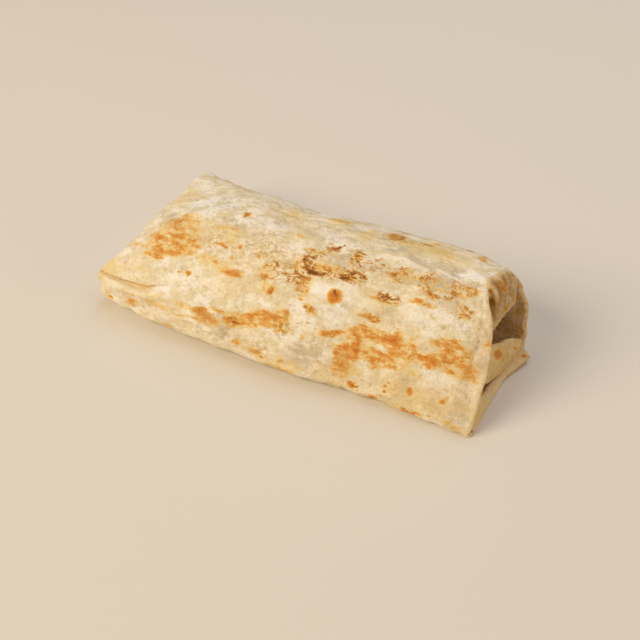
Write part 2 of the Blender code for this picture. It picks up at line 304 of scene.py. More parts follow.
def noise(points, size, seed):
    """Random values on a lattice of that spacing in mm, blended by 6u5 - 15u4 + 10u3."""
    scaled = points / np.array(size, float) + 1000.0
    cell = np.floor(scaled).astype(np.int64)
    u = scaled - cell
    u = u * u * u * (u * (u * 6 - 15) + 10)
    total = 0.0
    for corner in np.ndindex(2, 2, 2):
        weight = np.where(corner, u, 1 - u).prod(axis=-1)
        total = total + weight * lattice(*np.moveaxis(cell + corner, -1, 0), seed)
    return total


# %% Spots and strokes on the flat sheet
def spot(x, down, centre_x, centre_down, long, wide, tilt=0.0, ragged=0.0):
    """1 at the middle of an oval with those half sizes and a tilt in degrees, falling to 0 at
    1.35 times its edge; ragged shifts the edge by a noise."""
    cosine, sine = np.cos(np.radians(tilt)), np.sin(np.radians(tilt))
    a = (x - centre_x) * cosine + (down - centre_down) * sine
    b = (down - centre_down) * cosine - (x - centre_x) * sine
    return 1 - ramp(0.30, 1.35, np.hypot(a / long, b / wide) + ragged)


def stroke(x, down, width, *line):
    """1 on a line given as x, down, x, down and so on, falling to 0 at that half width."""
    points = np.reshape(line, (-1, 2))
    nearest = np.full(np.shape(x), np.inf)
    for (x0, d0), run in zip(points[:-1], np.diff(points, axis=0)):
        u = np.clip(((x - x0) * run[0] + (down - d0) * run[1]) / (run @ run), 0, 1)
        nearest = np.minimum(nearest, np.hypot(x - x0 - u * run[0], down - d0 - u * run[1]))
    return 1 - ramp(0.2, 1.0, nearest / width)


print("noise over the roll:", noise(roll, 5, 1).std().round(2))

# %% [markdown]
# ## Creases, lumps and blisters
# The last turn of the sheet overlaps the fold below it, which leaves a groove on the near
# side with a rounded band under it. The filling pushes up soft lumps, steam lifts small
# blisters, and the sheet wrinkles where it was pulled tight. Each is a height added along
# the surface normal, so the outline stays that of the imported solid. A sculpting brush could
# do this, but heights in millimetres can be changed one by one.

# %% Heights over the sheet, in mm
CREASE_LINE = table("0 16, .08 19, .16 22, .21 31, .28 37, 1 40")
CREASE_DEPTH, BAND_RISE = 1.9, 2.1
# Dents and swells: height, x, down, half length, half width, and a tilt if it leans.
SWELLS = table("""
  -1 66.6 -1 4.5 3 -10, .8 74 .5 7 2.6 -14, -.6 34 -3.7 4 3.5, -.4 47 -.5 4 3
  -.5 -50 -10 8 3.5 5, -.4 -28 -23 6 3, -.4 -74 5.5 6 4, .5 -60 33 9 4 -8, .4 -80 31 6 5
  .5 21.2 24.6 3.8 3.8, .5 21.2 24.6 9 8, .25 13 44.5 5 3.2, .35 56 29 9 6, .3 0 8 9 6
  .35 44 52 10 5, -.5 84 22 5 10 10, .3 70 56 9 3.5, .3 -20 33 9 5 -8""")
# Thin grooves: depth, half width, then x and down of each point along it.
GROOVES = table("""
  .55 1.4 -60 54 -45 53.5 -30 52, .4 1 3.7 35 5 40 6.5 46, .6 1.2 28 62.5 48 64 70 63 92 64.5
  .5 1 40 66 62 67.5 86 67, .3 1.2 66 4 70 12 80 22, .4 .9 79 8 82 16 84 28
  .3 .9 75 4 78 14 80 24, .3 1 83 30 85 44, .5 1.2 78 14 83 17.5 88 23
  .35 1.2 -93 10 -84 18 -78 30, .35 1.2 -30 58 -10 61 10 61""")


def crease(share, turn):
    """A narrow groove on the crease line with a full edge above it, and a rounded band 4 mm
    below it: bell curves of the distance from the line (an angle times the roll's radius,
    0.35 of its width), all fading along the roll."""
    below = (np.radians(along(CREASE_LINE, share)) - turn) * 0.35 * WIDTH
    groove = bell(below, 0.0, np.where(below > 0, 1.15, 0.65))
    groove = groove * (window(-0.01, 0.06, 0.13, 0.20, share)
                       + 0.35 * window(0.13, 0.20, 0.29, 0.35, share))
    band = bell(below, 4.0, 3.1) * window(0.01, 0.12, 0.20, 0.42, share)
    edge_above = bell(below, -1.8, 1.4) * (1 - ramp(0.20, 0.34, share))
    return BAND_RISE * band + 0.35 * edge_above - CREASE_DEPTH * groove


def filling_lumps(rows):
    """Broad swells of the filling: products of sines of x and y, faded out at the base and ends."""
    x, y, z = np.moveaxis(rows, -1, 0)
    swell = (np.sin(x / 13.5 + y / 29 + 0.6) * np.sin(y / 11 - x / 41 + 1.9)
             + 0.6 * np.sin(x / 7.8 - y / 9.5 + 2.2))
    share = x / LENGTH + 0.5
    return 0.6 * swell * window(0.06, 0.16, 0.80, 0.90, share) * ramp(8, 24, z)


def blisters(x, down, count=170):
    """Small domes at seeded random places: the highest of them, each sinking with its radius."""
    chance = np.random.default_rng(11)
    places = chance.uniform((-90, -45), (88, 68), (count, 2))
    sizes = chance.uniform(1.6, 4.6, count)
    height = np.zeros_like(x)
    for (at_x, at_down), size in zip(places, sizes):
        r = np.hypot((x - at_x) / size, (down - at_down) / (0.8 * size))
        height = np.maximum(height, (0.05 + 0.035 * size) * (1 - ramp(0.1, 1.0, r)))
    return height


def wrinkles(points, length, width, seed):
    """Fine lengthwise folds: 1 - |noise| stretched along x, squared to sharpen the ridges."""
    return (1 - np.abs(noise(points, (length, width, width), seed))) ** 2


def streaks(x, down, lean, length, width, seed):
    """Noise drawn out along a direction on the sheet, lean degrees round from the length."""
    c, s = np.cos(np.radians(lean)), np.sin(np.radians(lean))
    turned = np.stack([(c * x + s * down) / length, (c * down - s * x) / width, 0 * x], axis=-1)
    return noise(turned, 1.0, seed)


def lip_flare(share, degrees):
    """A valley 6 mm inside the open rim, whose edge flares up, on the near side and below."""
    inside = (along(OPEN_RIM, degrees) - share) * LENGTH
    where = 1 - window(60, 90, 300, 340, degrees)
    return 0.2 * where * (bell(inside, 0.0, 1.8) - bell(inside, 6.0, 4.0))


def outward(rows):
    """Unit normals of rows of closed loops: the step along crossed with the step round."""
    forward = np.gradient(rows, axis=0)
    sideways = np.roll(rows, -1, axis=1) - np.roll(rows, 1, axis=1)
    normal = np.cross(forward, sideways)
    return normal / np.linalg.norm(normal, axis=-1, keepdims=True)


x = roll[..., 0]
height = crease(share, turns % (2 * np.pi)) + filling_lumps(roll) + lip_flare(share, degrees)
for rise, *at in SWELLS:
    height += rise * spot(x, down, *at)
bent = down + 0.6 * noise(roll, 9, 31)
for depth, *line in GROOVES:
    height -= depth * stroke(x, bent, *line)
height += blisters(x, down)
height += 0.52 * noise(roll, 14, 1) + 0.50 * noise(roll, (7, 5, 5), 2) + 0.20 * noise(roll, 2.8, 3)
# Wrinkles that lean differently in different places: height, lean, length, width, oval.
WRINKLES = table("""
  .39 -50 9 2.2 -62 15 20 14, .39 80 8 2 -58 34 18 7, .33 -35 8 2.4 -38 10 16 12
  .36 4 12 2 10 -14 60 9, .3 12 9 2.4 60 34 24 14, .36 75 10 2.4 78 20 10 16
  .45 2 14 1.8 30 60 60 6, .33 -3 14 1.8 -50 56 30 6, .24 20 7 2.6 20 22 40 10""")
for seed, (rise, lean, long, wide, *at) in enumerate(WRINKLES, 50):
    height += rise * streaks(x, down, lean, long, wide, seed) * spot(x, down, *at)
# They are deepest behind the crest and near the table.
deeper = 0.12 + 0.18 * window(-60, -40, -14, 0, down) + 0.20 * ramp(44, 54, down)
height += deeper * wrinkles(roll, 16, 3.0, 4) + 0.10 * wrinkles(roll, 9, 1.8, 5)
body = roll + outward(roll) * height[..., None]
body[..., 2] = np.maximum(body[..., 2] - SETTLE, 0.0)
print("relief from", height.min().round(2), "to", height.max().round(2), "mm")

# %% [markdown]
# ## The shut end
# This end is folded like a parcel: the top of the sheet is turned down, the bottom turned up
# under it, and the sides make slanting creases. It is a short run of rows from the rim to a
# sunk slit, the upper flap a little proud of the lower one. Two sheets would look the same,
# because only their meeting line can be seen.

# %% Rows that close the shut end
def through(before, controls, counts):
    """Rows on a smooth curve through control rows: each column is a cubic over the distance
    walked, read at that many even steps in each stretch; before is the row ahead of the
    first, so that the curve leaves it smoothly."""
    points = np.stack([before, *controls])
    step = np.maximum(np.linalg.norm(np.diff(points, axis=0), axis=-1, keepdims=True), 1e-6)
    slant = np.diff(points, axis=0) / step
    inner = (slant[:-1] * step[1:] + slant[1:] * step[:-1]) / (step[1:] + step[:-1])
    slope = np.concatenate([inner, slant[-1:]])
    rows = []
    for i, count in enumerate(counts):
        walk = step[i + 1]
        rows += [hermite(u, points[i + 1], points[i + 2], slope[i] * walk, slope[i + 1] * walk)
                 for u in np.arange(1, count + 1) / count]
    return np.stack(rows)


def shut_end(rows):
    """Rows from the shut rim to a sunk slit across the end, the upper flap 0.6 mm proud."""
    rim = rows[0]
    x, y, z = np.moveaxis(rim, -1, 0)
    across = (y - y.min()) / (y.max() - y.min())
    slit_z = HEIGHT * (0.27 + 0.16 * across)
    slit_x = LENGTH * (0.030 + 0.016 * np.sin(np.pi * across) - 0.5)
    upper = np.where(z > slit_z, 1.0, 0.0)
    middle = 0.5 * (y.max() + y.min())
    steps = ((0.92, 0.995, 0.25, 0.8), (0.66, 0.985, 0.70, 1.8),     # height left, width left, way
             (0.38, 0.970, 0.95, 1.9), (0.16, 0.950, 1.00, 1.2))     # to the slit, how proud
    controls = [rim] + [np.stack([x + (slit_x - x) * way - proud - 0.6 * upper * way,
                                  middle + (y - middle) * width,
                                  slit_z + (z - slit_z) * left], axis=-1)
                        for left, width, way, proud in steps]
    controls += [np.stack([slit_x + sunk, middle + (y - middle) * width,
                           slit_z + (z - slit_z) * left], axis=-1)
                 for sunk, left, width in ((0.6, 0.07, 0.93), (4.5, 0.05, 0.90))]
    return through(rows[4], controls, (4, 5, 5, 5, 4, 3))


SLANTS = table("-46 30 -22 19, 44 34 22 21, -40 4 -20 15, 42 6 24 17, -8 40 -4 22, 18 36 10 22")
shut = shut_end(body)
shut_normal = outward(np.concatenate([body[:2][::-1], shut]))[2:] * -1
shut_depth = (0.25 * noise(shut, (8, 6, 6), 6) + 0.12 * noise(shut, 3, 7)
              - 0.7 * sum(stroke(shut[..., 1], shut[..., 2], 1.6, *line) for line in SLANTS))
settled = np.concatenate([np.linspace(0.1, 1, 12), np.ones(8), np.linspace(1, 0, 6)])
shut = shut + shut_normal * (shut_depth * settled[:, None])[..., None]
shut[..., 2] = np.maximum(shut[..., 2], 0.0)
print("shut end rows:", len(shut), "slit at x =", (shut[-4, :, 0].mean()).round(1), "mm")

# %% [markdown]
# ## The open end
# Here the sheet's edge was pushed in loosely. From the top it hangs down as a crumpled flap
# with pleats, on the near side it goes in behind a lip, and on the far side it is just the
# wall of a shallow pocket. Three recipes of rows (wall, flap behind a slit, flap rolled over
# the top) are blended by the angle round the roll, which keeps the sheet in one piece.

# %% Rows from the rim into the pocket
TUCK_EDGE = table("""
  40 84.5 -24 24.5, 50 85.4 -21.4 29.5, 60 86 -19 32.4, 70 86.1 -16.2 33.4, 80 85.9 -12.4 32.8
  90 85.4 -8 30.8, 105 84.9 -1 27.8, 120 85.2 5 26.8, 135 86.8 12.5 26.6, 150 89.3 15.3 26.6
  165 90 16.2 25.5""")
END_COUNTS = (5, 4, 4, 4, 7, 7, 3, 3, 5, 5)


def bezier(start, leave, arrive, end, u):
    """Cubic curve from start to end, drawn towards leave and arrive."""
    return ((1 - u)**3 * start + 3 * u * (1 - u)**2 * leave
            + 3 * u**2 * (1 - u) * arrive + u**3 * end)


def pocket_wall(degrees):
    """An oval loop deep in the pocket that its walls run down to."""
    angle = np.radians(degrees)
    deep = np.full_like(angle, 0.5 * LENGTH - 8.5 - POCKET_DEPTH)
    return np.stack([deep, -0.3 - 14.5 * np.cos(angle), 18.5 + 10.5 * np.sin(angle)], axis=-1)


def open_end(rows, degrees):
    """Rows over the lip, down the tucked flap, round its edge and into the pocket."""
    rim = rows[-1]
    out = outward(rows)[-1]
    out[:, 0] = 0.0
    out /= np.linalg.norm(out, axis=-1, keepdims=True)
    forward = np.array([1.0, 0.0, 0.0])
    wavy = 0.25 * np.sin(np.radians(degrees) * 7 + 0.6) + 0.10 * np.sin(np.radians(degrees) * 17)
    flap = edge(TUCK_EDGE, degrees) + wavy[:, None] * np.array([0.3, 0.0, 1.0])
    wall = pocket_wall(degrees)
    lip = rim + 0.8 * forward - 0.35 * SHEET * out
    inside = rim - 0.8 * SHEET * out
    plain = [lip, inside] + [inside + (wall - inside) * way
                             for way in (0.12, 0.3, 0.45, 0.6, 0.7, 0.85)]
    slit = rim - 2.6 * forward - 1.05 * SHEET * out
    behind = rim - 1.2 * forward - 2.0 * SHEET * out
    back = flap - np.array([SHEET, 0.0, -0.4])
    under = 0.5 * (flap + back) - np.array([0.0, 0.0, 0.6 * SHEET])
    folded = [lip, inside, slit, behind, 0.5 * (behind + flap), flap, under, back]
    leave = rim + (4.5 - 3.2 * ramp(85, 165, degrees))[:, None] * forward
    arrive = flap + np.array([0.8, 0.0, 6.5])
    rolled = [bezier(rim, leave, arrive, flap, u) for u in (0.15, 0.3, 0.48, 0.66, 0.83, 1.0)]
    rolled += [under, back]
    has_flap = window(38, 50, 134, 160, degrees)[:, None]
    is_folded = (1 - ramp(70, 90, degrees))[:, None]
    path = [rim]
    for straight, over_slit, over_top in zip(plain, folded, rolled):
        tucked = over_slit * is_folded + over_top * (1 - is_folded)
        path.append(straight * (1 - has_flap) + tucked * has_flap)
    path += [0.5 * (path[-1] + wall), wall]
    return through(rows[-4], path, END_COUNTS)


rim_degrees = degrees[-1]
opened = open_end(body, rim_degrees)
way = np.concatenate([i + np.arange(1, n + 1) / n for i, n in enumerate(END_COUNTS)])[:, None]
open_normal = outward(np.concatenate([body[-2:], opened]))[2:]
flap_here = window(50, 64, 120, 142, rim_degrees)
# A sharp pleat every 12 degrees and finer ripples between, which sway a little on the way in.
bent = np.radians(rim_degrees) + 0.05 * np.sin(1.7 * way)
pleat = (1.0 - 2 * np.abs(np.sin(bent * 15 + 2.2)) + 0.7 * np.cos(bent * 31 + 0.5 * way)
         - 0.9 * bell(way, 3.5 + 0.5 * np.sin(bent * 9), 0.35))
on_flap = window(0.6, 2.0, 8.0, 9.0, way) * (1 - 0.85 * ramp(4.4, 6.0, way))
pleats = pleat * flap_here * on_flap
crumple = (0.30 * noise(opened, 6, 8) + 0.14 * noise(opened, 2.8, 9)) * ramp(0.5, 3.0, way)
opened = opened + open_normal * (pleats + crumple)[..., None]
print("open end rows:", len(opened), "reaching x =", opened[..., 0].max().round(1), "mm")

# %% [markdown]
# ## Two loose folds
# Below the pocket a fold of the sheet bulges up, and under that a thin corner sticks out
# over the table. Both are short sheets of one thickness with rounded edges, made as loops
# round their section that follow two drawn lines. A flat plane with a Solidify modifier
# would give square edges, which dough never has.

# %% Loops round the folds
# Lines as rows of share of the way along, x, y and z.
FOLD_TOP = table("""
  0 85.5 -22.3 29, .2 86.8 -13 24, .5 88.3 -1 16.6, .7 89.8 4 15, .85 91.3 9 12, 1 92.5 16 7.2""")
FOLD_FOOT = table("""
  0 86.5 -29.3 13, .2 88.3 -21 10, .5 89.5 -9.5 4.8, .7 90.8 -3 3.2, .85 92.5 4 2.2
  1 93.8 15.2 1.5""")
CORNER_EDGE = table("""
  0 91.2 -42.8 3, .2 91.3 -30.8 2.2, .4 91.8 -19.8 2.2, .6 92.3 -8.3 2.4, .75 93.8 -1.8 2.8
  .85 96.2 4.2 3.2, 1 98.4 10.2 3.6""")
CORNER_ROOT = table("""
  0 89.3 -39.3 7.5, .2 88.8 -29.8 6.6, .4 88 -20.8 4.2, .6 88 -8.8 2.6, .75 89 .2 2.4
  .85 90.5 7.2 2.4, 1 92.5 15.7 2.6""")


def rounded(loops, steps):
    """Finer loops: a closed cubic curve through each loop's points, slopes from neighbours."""
    points = np.asarray(loops)
    after, before = np.roll(points, -1, axis=1), np.roll(points, 1, axis=1)
    ahead = np.linalg.norm(after - points, axis=-1, keepdims=True)
    behind = np.linalg.norm(points - before, axis=-1, keepdims=True)
    slope = (after - points) / ahead * behind + (points - before) / behind * ahead
    slope = slope / (ahead + behind)
    fine = [hermite(u, points, after, slope * ahead, np.roll(slope, -1, axis=1) * ahead)
            for u in np.arange(steps) / steps]
    return np.stack(fine, axis=2).reshape(len(points), -1, 3)


def fold_loops(count=70, thick=2.6, bulge=1.8):
    """The lower fold: front bulged by a half sine, less so to its far end, and a flat back."""
    loops = []
    for share in np.linspace(0.0, 1.0, count):
        top, foot = edge(FOLD_TOP, share), edge(FOLD_FOOT, share)
        out = bulge * (1 - 0.8 * share)
        front = [top + (foot - top) * w + np.array([out * np.sin(np.pi * w), 0, 0])
                 for w in (0.02, 0.16, 0.36, 0.60, 0.82, 1.0)]
        back = [top + (foot - top) * w - np.array([thick, 0, 0]) for w in (0.95, 0.5, 0.05)]
        loops.append(front + back + [top - np.array([0.5 * thick, 0.0, -0.4])])
    return rounded(loops, 5)


def corner_loops(count=80, lift=1.2, gap=0.3):
    """The bottom corner: from its root to its outer edge, its tip lifted off the table."""
    loops = []
    for share in np.linspace(0.0, 1.0, count):
        outer, root = edge(CORNER_EDGE, share), edge(CORNER_ROOT, share)
        up = lift * ramp(0.70, 1.0, share)
        middle = 0.5 * (outer + root)
        top = [outer - np.array([0.4, 0, 0]), middle + np.array([0, 0, 0.3]), root]
        under = [root * [1, 1, 0] + [0, 0, gap], middle * [1, 1, 0] + [0, 0, gap + 0.5 * up],
                 outer * [1, 1, 0] + [-0.4, 0, gap + up]]
        loops.append(top + under + [outer * [1, 1, 0.5] + [0.2, 0, 0.5 * (gap + up)]])
    return rounded(loops, 5)


fold, corner = fold_loops(), corner_loops()
fold[..., 2] -= 0.9
fold_rise = 0.30 * noise(fold, 7, 12) + 0.12 * noise(fold, 2.6, 13)
fold = fold + outward(fold) * fold_rise[..., None]
corner = corner + outward(corner) * (0.18 * noise(corner, 5, 14))[..., None]
corner[..., 2] = np.maximum(corner[..., 2], 0.05)
print("fold", fold.shape[:2], "corner", corner.shape[:2])

# %% [markdown]
# ## Where the griddle toasted it
# Dough browns only where it touches the hot plate, so the toast comes in patches, each
# broken up by bubbles. A patch is an oval or a stroke given in millimetres on the sheet. They
# are stored on the mesh as smooth numbers, which the finish breaks into many small marks, and
# can be moved one by one.

# %% Patches: strength in percent, x, down, half length, half width, and a tilt if it leans
TOAST = table("""
  # left shoulder, strongest at its lower edge
  52 -67 12 15 8 -4, 44 -62 14 9 10, 78 -68 21 13 5 -4, 86 -59 22.5 9.5 6 -8, 70 -71 26.4 8 2.2
  97 -70.5 29.8 6.4 2.8, 84 -62 25.6 9 3 -14, 60 -76 20.3 8 .9, 42 -82 26.5 6 2.5, 25 -78 37 8 4
  # behind the crest line of the left half
  45 -41 8 8 1.8, 36 -36 12 4 3.5, 85 -39.5 17 4.2 .9 3, 62 -33 26.5 8 3.2 6, 90 -28 28.2 3.6 2.4
  50 -24 27 3 2, 40 -44 25 6 3, 60 -12 23 4 5, 70 -18.8 16.5 1.4 2, 40 -7 2 5 1.4, 40 -9 29 5 3
  # the band under the crease
  42 -80 51 12 .9, 62 -60 51.5 9 1.2 2, 58 -74 55.5 4.5 2.4 6, 50 -47 49 5 2, 110 -37 48.7 6 2.2
  105 -33 51.7 7 2.6, 55 -45 53.3 12 .8, 80 -28 45.6 5 1 -4, 100 -20 47.5 5.5 4 -12
  95 -10 44.5 10 3.6 -18, 90 -3 41 8 2.6 -16, 80 1.5 37.6 3.4 1.8, 42 1 43.5 6 3.4
  50 -17 57 3 1.5, 60 -8 58.4 6 1.6 8, 62 4 63.5 9 2
  # the middle
  56 4 15 9 4.5, 30 13 14 11 4, 40 22 14 10 3 -6, 32 5 8 8 3, 30 12 4.5 5 3, 40 23 6 3.4 4.5
  50 6 22 5 3, 45 7 27 4 4, 60 13 33 4 2 18, 45 42 20 8 2.6, 25 34 20 6 3
  # the far side of the top
  62 2 -19 7 3, 62 31 -17 5 5, 35 38 -12 7 3, 50 48 -19 3 3, 35 53 -13 6 4, 70 70 -18 2 3
  30 -18 -13 5 6
  # the right of the top
  30 58 9 22 7, 22 42 9 6 4, 30 74 7 4 3, 62 74 15.6 4.4 3.4, 50 56 17.5 7 1.6
  # the big patch on the near side
  110 25 39.8 8 1.9 -14, 70 33 46 6 6, 95 35 39 5 4.5, 93 34 45.5 5.5 4.5, 80 27.5 44.6 3 1.6
  75 32.5 52.5 5 5.6, 40 38 52.5 4 2.5, 86 37.5 35.2 6 3 -10, 55 38 29 5.5 1.6, 84 45 36 8 4
  78 51.5 34.5 3.5 3.6, 120 50.6 41.5 3.6 2.6, 130 51.2 36.2 2.6 1.2, 86 44 44.5 8 4.6
  62 55 44.5 8 3.8, 58 58 34 4 3.5, 115 65 38.2 6 2.4, 95 72 40.4 11 1.8 2, 60 67 31.5 3 2.2
  75 72 28 5 1.6, 76 73 32.5 5 4.2, 70 79 34 5 6, 66 84.5 39 5 3.6, 36 64 46 4 2.2
  50 88 25 2.4 3.6, 90 57 39.5 7 4, 74 72 36.5 10 2.8
  # near the table
  93 63.5 64 8 1, 50 85 61.5 6 1.6, 30 -50 61 12 2.5, 35 12 58.5 4 2.5, 50 5 58.5 2 1.4
  # the back and the underside
  60 -70 -43 13 6 8, 72 -35 -38 14 7 -6, 66 12 -40 12 7, 50 -10 -28 6 3, 74 48 -42 12 6 6
  55 70 -36 7 5, 50 -82 -44 5 6, 55 -52 -46 10 4, 60 -5 -50 9 4, 50 30 -54 10 4, 60 -60 95 20 14
  65 -10 92 22 12, 60 45 96 22 12, 45 75 80 12 10, 50 -20 112 30 10""")
# Places inside a patch that bubbled up and stayed pale.
CLEAN = table("""
  100 -58 33 12 5 -7, 50 -84 34 5 3, 100 28.5 42 2.4 1.1, 90 32 41.6 1.8 .9
  100 -50 42.5 26 2.6 -6, 90 -82 47.7 14 1.6 3, 80 24 33 6 4, 80 15 27 3 5, 100 21 24.6 9 8
  80 46 39.5 3 1.4, 70 57 37 2.4 1.2, 70 66 35 3 1.4, 70 41 47.5 3 2, 70 57 42.5 3 1.1
  60 38.5 44.5 1.2 2.6, 80 6.6 42 .9 6 6""")
# Small marks that keep a clear edge, as where one bubble scorched.
MARKS = table("""
  100 -37.8 -4 2 1.1, 95 -37.5 -2.4 1.2 1.8, 85 -29.5 16 1.4 1.5, 90 -31 21.8 .9 .5
  100 -49.6 33.8 2 1.4 15, 70 -54.2 34.6 1.3 .6 -8, 85 -89 56.5 2 .9 12, 100 -4.2 60 1.2 1.1
  75 -16.5 57.4 1.8 .9, 110 -7 30.2 1.5 2.6 12, 70 -10.5 30 .7 1.4, 110 54.8 16.6 2.2 1.3 -4
  75 52.3 18 2 .7 -6, 75 60 18.1 2.4 .7 8, 90 6.6 20.8 2.2 1, 70 3.6 23.6 1.5 1
  80 8.3 25.5 .9 1.5, 85 7 30 1.9 .9 10, 85 13 33 2.6 .9 24, 70 13.3 38.7 .9 .7
  75 13 45 1.4 .7 30, 80 1.8 41.3 1.2 .6, 80 3.6 44.8 1 .6 20, 70 .8 45.8 1 .6
  95 37.2 59.6 1.9 1.8 10, 60 40.3 60.5 .9 .8, 95 47.4 61.8 2.6 1.6 -30, 85 53 53.1 .9 .8
  90 52.1 55.4 1.1 .9, 95 52.3 57.7 1.1 .9, 80 51 60 .8 .7, 60 55.9 55.6 .8 .7
  110 62.6 54 1.3 2.2 -14, 72 76.7 53.6 1.5 1.2, 50 78.4 51.3 .8 1.8 20, 75 73.2 61.2 .8 .7
  80 71 -15 1.8 1.6, 90 80.7 -31 1.4 2.4, 60 58 -10 1.4 .9, 70 44 -17 1.6 1, 90 30 -30 3 2
  90 62 -26 2 2""")
# Strokes of deeper browning: strength in percent, half width, then x and down of each point.
CHAR = table("""
  62 .8 -11 17.5 -8 18.6 -5 20 -2 21, 62 .9 -2 21 1.6 21 4 19.5, 90 1.4 1.2 12 3 14 5 17
  95 2.2 4.5 17 7 17.5 9 16.8, 80 .9 6 14 7 17, 80 1.4 9.5 17.3 12.5 17.4 14.5 15.5
  80 .8 11.5 14 13.5 16, 85 1.1 17.5 16 21 15 24 16.2, 80 .9 20 11.5 23 12.5 27 12 31 13.4
  70 .8 25 14.6 28 13.6, 85 .9 8.6 4.6 11 6 13.2 4.2 15 1.6, 85 1.3 21.6 2.6 23 4.2
  75 .8 22.6 5.5 24.5 7.6 26.4 9, 95 1.2 37.4 18.8 40 19.6 42 19.6
  95 1.2 41.5 17.6 44 18.8 47 18.4, 85 .8 41.4 16.4 42.6 17, 50 .6 -43 16.9 -36.5 17.5
  60 .9 30 -17 36 -14, 50 .8 42 -17 47 -16, 62 .9 -7.3 29.4 -6.6 31.6, 60 1.1 -22 49.4 -18 48
  135 .5 20.2 22.4 21.2 24 22.4 25.4, 60 1.2 -30 -38 -24 -36, 60 1.2 14 -42 22 -40
  # flecks of burnt flour
  140 .6 -72.3 -9.1 -72.2 -9.2, 140 .6 -47.2 -7 -47.1 -7.1, 140 .6 -78.6 20.1 -78.5 20.2
  140 .6 -48.2 28.4 -48.1 28.3""")
# Where char comes only as scattered squiggles.
SINGED = table("""
  22 -9 20 5 2, 42 2 19 7 3.5, 42 3 13 5 4, 44 13 16 6 3, 40 23 14.5 8 3, 36 12 4 5 3.5
  38 23 6 3.5 4.5, 32 5 8 5 2.5, 38 42 18.5 7 3, 28 33 7 6 4, 29 43 8 5 4.5, 28 54 7 5 5
  24 60 12 10 2, 27 67 7 4 6, 29 73.5 7 4.5 3, 33 74 15.6 4.5 3.6, 34 32 -16 6 5, 30 45 -17 4 2.2
  20 -8 58 5 2, 26 -21 48.5 6 2.8, 26 2 44 5 3, 33 5 23 4 6, 30 12 33 4 2, 36 38 29 6 1.8
  28 -12 24 4 5, 26 -4 23 6 3, 28 38 59 3 1.6, 34 -32 -38 8 4, 34 16 -42 8 4, 34 50 -43 7 4""")
# Where fat soaked through, with painted warm bounce light low on the near side and painted
# highlight on the band under the crease; painted shade in the dents and along the open lip,
# where the filling also shows through; and where flour sits, with painted highlight on swells.
BUTTER_AND_WARM_BOUNCE = table("""
  60 -87 42 7 4.5, 40 66 54 18 8, 80 -94 40 6 9, 40 -42 11 12 7, 80 20 -11 4 7, 90 46 -12 16 8
  70 4 -17 6 5, 50 62 -10 8 7, 50 -18 -15 5 7, 100 -59 -.6 1.2 1.2, 60 86 52 3 2, 30 -82 -10 8 12
  70 4 43 6 4, 50 12 44 5 3, 80 -72 47.6 24 2.4, 30 -28 35 14 5, 40 30 58 12 6, 70 2 62 12 4""")
# Grey patches: painted shade in the dents and along the open lip, and filling showing through moist
# dough elsewhere.
GREY_SHADE_AND_SHOW_THROUGH = table("""
  65 62 8 24 9, 55 18 9 20 8, 60 -50 -11 9 5, 70 -38 3.5 10 5, 50 -22 0 11 8, 70 -77 5.5 4 3
  100 34 -5 7 3.5 20, 70 24 -3 7 3, 50 48 0 6 4, 110 66 -2.5 4.5 3, 60 55 3 5 4, 45 48 26 8 3
  60 -88 4 6 14, 50 85 38 5 24, 60 84 60 6 5, 45 5 -2 12 6, 60 -26 55 14 6, 60 16 53 12 6
  40 25 28 5 4, 60 12 47 4 3, 40 44 14 6 3""")
# White patches: dry flour, and painted highlight on the raised swells and the band under the
# crease.
FLOUR_AND_HIGHLIGHT = table("""
  100 21.1 29.6 5 1.2, 90 -58 34 12 5 -6, 90 16 29 8 9, 100 73 -2 7 4 -14, 70 10 43.5 3 3
  50 56 24 5 4, 80 -22 -2 9 7, 70 -65 -8 14 7, 95 21 24.6 7.5 7, 40 70 48 10 3
  90 -45 43 24 3.5 -6, 45 -80 48 18 2 3, 60 -58 45.5 14 2 -6, 70 -14 37 12 4, 80 24 33 7 3
  60 8 0 14 5, 50 56 12 16 2, 50 30 20 8 3, 50 8 10 5 1.6, 40 46 22 6 3""")


def covered(x, down, patches, bend=0.9):
    """How strongly a set of patches marks each point: 1 minus the product of what each
    leaves, at places bent by a small noise so that no oval looks drawn."""
    left = np.ones_like(x)
    flat = np.stack([x, down, 0 * x], -1)
    bent_x, bent_down = x + bend * noise(flat, 4, 21), down + bend * noise(flat, 4, 22)
    for percent, *at in patches:
        left *= 1 - min(percent / 100, 0.99) * spot(bent_x, bent_down, *at)
    return 1 - left


def strongest(x, down, lines):
    """The strongest of a set of strokes (percent, half width, x, down, ...) at each point."""
    return np.max([percent / 100 * stroke(x, down, *line) for percent, *line in lines], axis=0)


def charred(x, down, lines):
    """The same, with the path of each stroke bent by a small noise."""
    flat = np.stack([x, down, 0 * x], -1)
    return strongest(x + 0.8 * noise(flat, 2.6, 23), down + 0.8 * noise(flat, 2.6, 24), lines)


# One round blister on the top, scorched all over.
ring = spot(x, down, 21.1, 24.6, 3.7, 3.8, ragged=0.10 * noise(roll, 2.2, 25))
fields = {"toast": covered(x, down, TOAST) * (1 - covered(x, down, CLEAN)),
          "mark": np.maximum(covered(x, down, MARKS, bend=0.4), 1.05 * ring),
          "char": np.maximum(charred(x, down, CHAR), covered(x, down, SINGED)),
          "butter_and_warm_bounce": covered(x, down, BUTTER_AND_WARM_BOUNCE), "grey_shade_and_show_through": covered(x, down, GREY_SHADE_AND_SHOW_THROUGH),
          "flour": covered(x, down, FLOUR_AND_HIGHLIGHT)}
print("share of the sheet toasted:", (fields["toast"] > 0.5).mean().round(3))

